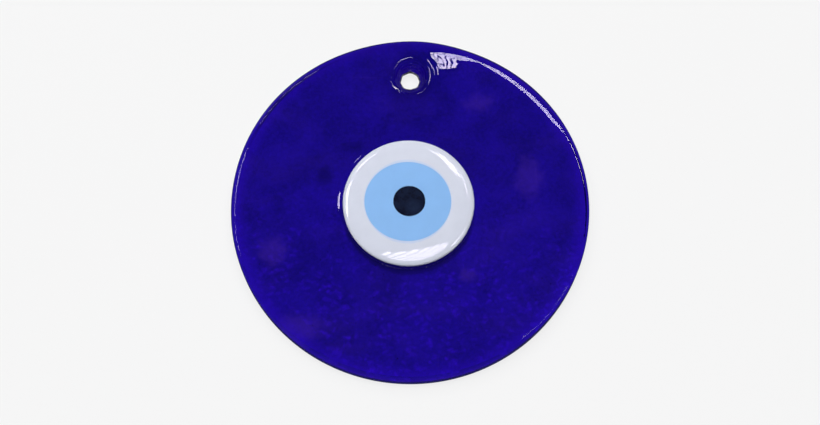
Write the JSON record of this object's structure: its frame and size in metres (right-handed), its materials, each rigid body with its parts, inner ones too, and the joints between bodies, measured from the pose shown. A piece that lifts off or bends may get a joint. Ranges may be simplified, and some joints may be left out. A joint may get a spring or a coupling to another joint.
{
  "type": "evil eye ornament",
  "caption": "Flat cobalt blue glass disc with a raised white, light blue and near-black glass eye fused on its face and a pierced hole for hanging it.",
  "frame": {"origin": "centre of the flat back face, which the ornament lies on", "axes": "+Z out of the face that carries the eye, +Y from the centre towards the hanging hole, +X to the right when the face is seen with the hole at the top"},
  "size_m": [0.15, 0.15, 0.0129],
  "materials": {
    "cobalt_glass": "gloss",
    "white_glass": "gloss",
    "light_blue_glass": "gloss",
    "dark_glass": "gloss"
  },
  "bodies": {
    "root": {"blue_disc": "cobalt_glass", "white_drop": "white_glass", "iris_drop": "light_blue_glass", "pupil_drop": "dark_glass"}
  },
  "joints": []
}
